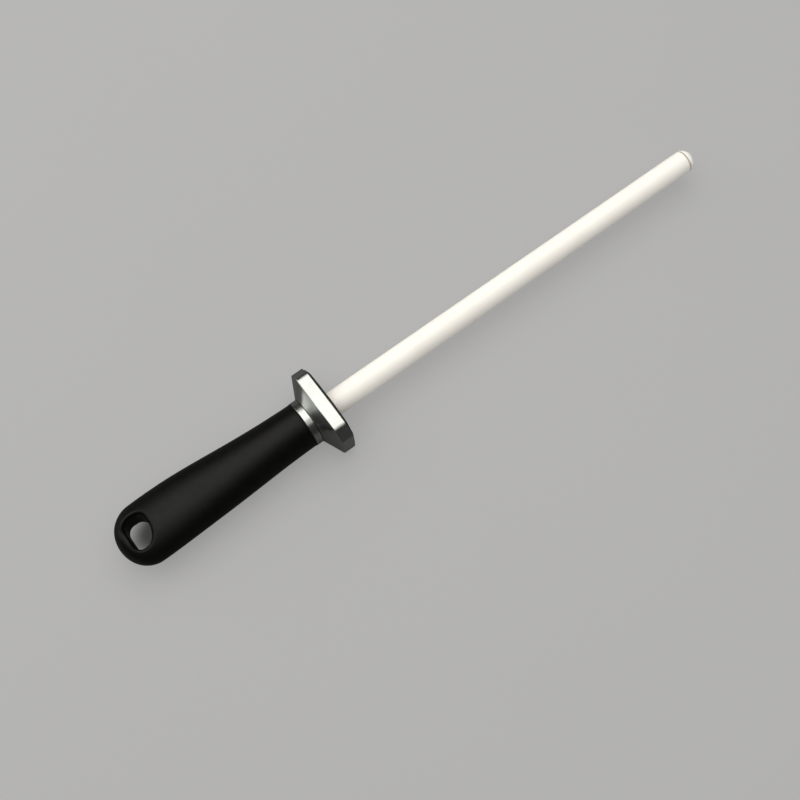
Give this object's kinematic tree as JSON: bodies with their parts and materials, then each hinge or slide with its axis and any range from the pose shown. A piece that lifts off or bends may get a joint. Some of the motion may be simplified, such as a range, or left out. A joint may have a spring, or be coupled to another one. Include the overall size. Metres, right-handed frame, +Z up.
{
  "type": "knife sharpening steel",
  "caption": "Ceramic knife sharpening steel: a tapered white rod with a domed tip, an oblong metal guard and collar, and a black handle with a hanging eye.",
  "frame": {"origin": "middle of the overall length and width, on the surface that the guard rests on", "axes": "+X along the rod from the handle to the tip, +Y across the width of the guard, +Z up, along the hanging eye's axis"},
  "size_m": [0.3801, 0.0474, 0.0322],
  "materials": {
    "grip_black": "satin moulded black plastic skin",
    "core_plastic": "as moulded",
    "brass": "turned",
    "rod_steel": "cold drawn",
    "ceramic": "fine ground, matte",
    "silicone": "moulded",
    "black_rubber": "moulded",
    "epoxy": "cured adhesive sleeve",
    "seal_black": "moulded",
    "collar_steel": "satin, brushed round its axis",
    "guard_steel": "satin, brushed",
    "pad_black": "satin moulded",
    "tip_seal": "moulded",
    "cap_plastic": "slightly translucent moulded plastic"
  },
  "bodies": {
    "root": {"handle_grip": "grip_black", "handle_core": "core_plastic", "tang_insert": "brass", "tie_rod": "rod_steel", "ceramic_rod": "ceramic", "centring_rings": "silicone", "socket_cushion": "black_rubber", "socket_sleeve": "epoxy", "collar_seal": "seal_black", "collar": "collar_steel", "guard": "guard_steel", "guard_pad": "pad_black", "tip_washer": "tip_seal", "tip_cap": "cap_plastic", "tip_insert": "brass"}
  },
  "joints": []
}
